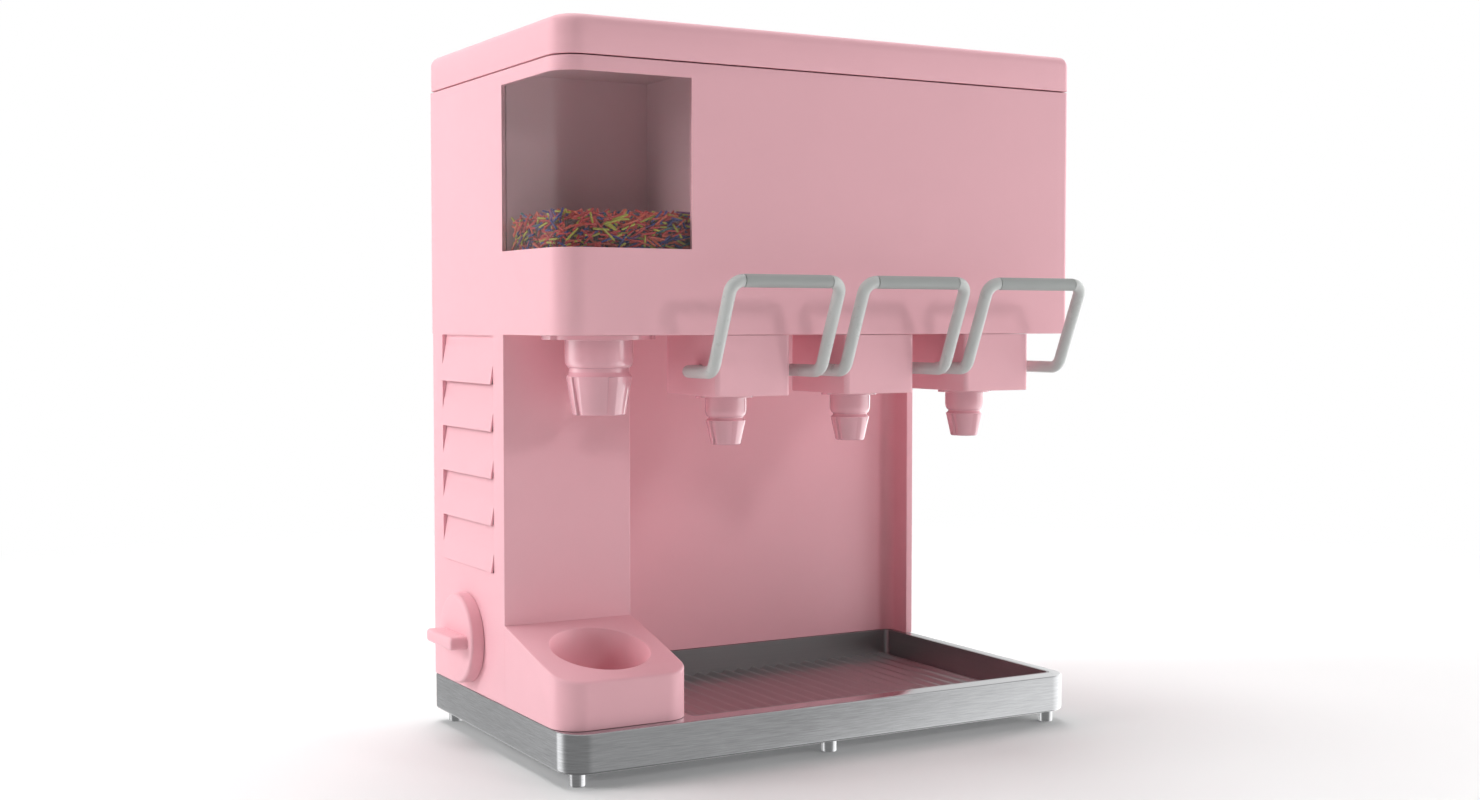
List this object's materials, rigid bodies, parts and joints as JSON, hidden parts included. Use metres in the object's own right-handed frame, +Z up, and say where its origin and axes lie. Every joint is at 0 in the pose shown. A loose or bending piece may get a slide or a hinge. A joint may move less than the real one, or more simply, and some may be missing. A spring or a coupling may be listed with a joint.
{
  "type": "soft serve machine",
  "caption": "Countertop soft serve machine with lever taps over a ribbed drip tray, a windowed sprinkle dispenser and a cone holder.",
  "frame": {"origin": "on the worktop, under the middle of the machine's bounding box", "axes": "+Z up, -Y towards the person serving, +X to that person's right"},
  "size_m": [0.4748, 0.317, 0.542],
  "materials": {
    "pink_plastic": "smooth satin",
    "brushed_steel": "brushed along the length",
    "hinge_steel": "plain",
    "motor_steel": "zinc grey",
    "handle_grey": "satin light grey",
    "grip_grey": "satin mid grey",
    "smoked_acrylic": "smoked, clear",
    "sprinkles": "mixed colours, sugar",
    "white_plastic": "food-grade white",
    "black_plastic": "moulded",
    "belt_rubber": "ribbed",
    "compressor_black": "satin",
    "condenser_aluminium": "thin fins",
    "board_green": "solder mask"
  },
  "bodies": {
    "cabinet": {"back_panel": "pink_plastic", "base_pan": "brushed_steel", "column_shell": "pink_plastic", "compressor": "compressor_black", "condenser": "condenser_aluminium", "cone_holder": "pink_plastic", "control_board": "board_green", "drive_belt": "belt_rubber", "drive_motor": "motor_steel", "fan_motor": "motor_steel", "foot_front_left": "brushed_steel", "foot_front_middle": "brushed_steel", "foot_front_right": "brushed_steel", "foot_rear_left": "brushed_steel", "foot_rear_middle": "brushed_steel", "foot_rear_right": "brushed_steel", "freezing_barrel_left": "brushed_steel", "freezing_barrel_middle": "brushed_steel", "freezing_barrel_right": "brushed_steel", "head_floor": "pink_plastic", "head_shell": "pink_plastic", "hinge_fixed_leaf": "hinge_steel", "hinge_pin": "hinge_steel", "mix_hopper": "brushed_steel", "power_inlet": "black_plastic", "rotary_switch": "black_plastic", "sprinkle_bin": "pink_plastic", "sprinkle_fill": "sprinkles", "sprinkle_motor": "motor_steel", "sprinkle_nozzle": "pink_plastic", "tap_block_left": "pink_plastic", "tap_block_middle": "pink_plastic", "tap_block_right": "pink_plastic", "tap_nozzle_left": "pink_plastic", "tap_nozzle_middle": "pink_plastic", "tap_nozzle_right": "pink_plastic", "vent_grille": "pink_plastic", "window_pane": "smoked_acrylic"},
    "lid": {"lid": "pink_plastic", "hinge_lid_leaf": "hinge_steel"},
    "knob": {"knob": "pink_plastic"},
    "drip_tray": {"drip_tray": "brushed_steel"},
    "motor_pulley": {"motor_pulley": "black_plastic"},
    "fan": {"fan_rotor": "black_plastic"},
    "sprinkle_rotor": {"sprinkle_rotor": "white_plastic"},
    "handle_left": {"handle_left": "handle_grey", "grip_sleeve_left": "grip_grey"},
    "valve_left": {"valve_piston_left": "white_plastic"},
    "dasher_left": {"dasher_left": "white_plastic", "dasher_pulley_left": "black_plastic"},
    "handle_middle": {"handle_middle": "handle_grey", "grip_sleeve_middle": "grip_grey"},
    "valve_middle": {"valve_piston_middle": "white_plastic"},
    "dasher_middle": {"dasher_middle": "white_plastic", "dasher_pulley_middle": "black_plastic"},
    "handle_right": {"handle_right": "handle_grey", "grip_sleeve_right": "grip_grey"},
    "valve_right": {"valve_piston_right": "white_plastic"},
    "dasher_right": {"dasher_right": "white_plastic", "dasher_pulley_right": "black_plastic"}
  },
  "joints": [
    {"name": "lid_hinge", "type": "hinge", "parent": "cabinet", "child": "lid", "pos_m": [0.01235, 0.15495, 0.5131], "axis": [-1, 0, 0], "range_deg": [0, 95]},
    {"name": "knob_turn", "type": "hinge", "parent": "cabinet", "child": "knob", "pos_m": [-0.21265, 0.07505, 0.0805], "axis": [1, 0, 0], "range_deg": [-90, 90]},
    {"name": "drip_tray_lift", "type": "slide", "parent": "cabinet", "child": "drip_tray", "axis": [0, 0, 1], "range_m": [0, 0.08]},
    {"name": "motor_turn", "type": "hinge", "parent": "cabinet", "child": "motor_pulley", "pos_m": [-0.15865, 0.09905, 0.376], "axis": [0, 1, 0], "continuous": true},
    {"name": "fan_turn", "type": "hinge", "parent": "cabinet", "child": "fan", "pos_m": [-0.16565, 0.07405, 0.226], "axis": [1, 0, 0], "continuous": true},
    {"name": "sprinkle_rotor_turn", "type": "hinge", "parent": "cabinet", "child": "sprinkle_rotor", "pos_m": [-0.15865, -0.05325, 0.336], "axis": [0, 1, 0], "continuous": true},
    {"name": "handle_left_pull", "type": "hinge", "parent": "cabinet", "child": "handle_left", "pos_m": [-0.05785, -0.08115, 0.2914], "axis": [1, 0, 0], "range_deg": [0, 40]},
    {"name": "valve_left_lift", "type": "slide", "parent": "cabinet", "child": "valve_left", "axis": [0, 0, 1], "range_m": [0, 0.0161]},
    {"name": "dasher_left_turn", "type": "hinge", "parent": "cabinet", "child": "dasher_left", "pos_m": [-0.05785, 0.09405, 0.376], "axis": [0, 1, 0], "continuous": true},
    {"name": "handle_middle_pull", "type": "hinge", "parent": "cabinet", "child": "handle_middle", "pos_m": [0.054, -0.08115, 0.2914], "axis": [1, 0, 0], "range_deg": [0, 40]},
    {"name": "valve_middle_lift", "type": "slide", "parent": "cabinet", "child": "valve_middle", "axis": [0, 0, 1], "range_m": [0, 0.0161]},
    {"name": "dasher_middle_turn", "type": "hinge", "parent": "cabinet", "child": "dasher_middle", "pos_m": [0.054, 0.09405, 0.376], "axis": [0, 1, 0], "continuous": true},
    {"name": "handle_right_pull", "type": "hinge", "parent": "cabinet", "child": "handle_right", "pos_m": [0.16585, -0.08115, 0.2914], "axis": [1, 0, 0], "range_deg": [0, 40]},
    {"name": "valve_right_lift", "type": "slide", "parent": "cabinet", "child": "valve_right", "axis": [0, 0, 1], "range_m": [0, 0.0161]},
    {"name": "dasher_right_turn", "type": "hinge", "parent": "cabinet", "child": "dasher_right", "pos_m": [0.16585, 0.09405, 0.376], "axis": [0, 1, 0], "continuous": true}
  ],
  "couplings": [
    {"joint": "valve_left_lift", "follows": "handle_left_pull", "m_per_rad": 0.0229},
    {"joint": "dasher_left_turn", "follows": "motor_turn", "ratio": 1},
    {"joint": "valve_middle_lift", "follows": "handle_middle_pull", "m_per_rad": 0.0229},
    {"joint": "dasher_middle_turn", "follows": "motor_turn", "ratio": 1},
    {"joint": "valve_right_lift", "follows": "handle_right_pull", "m_per_rad": 0.0229},
    {"joint": "dasher_right_turn", "follows": "motor_turn", "ratio": 1}
  ]
}
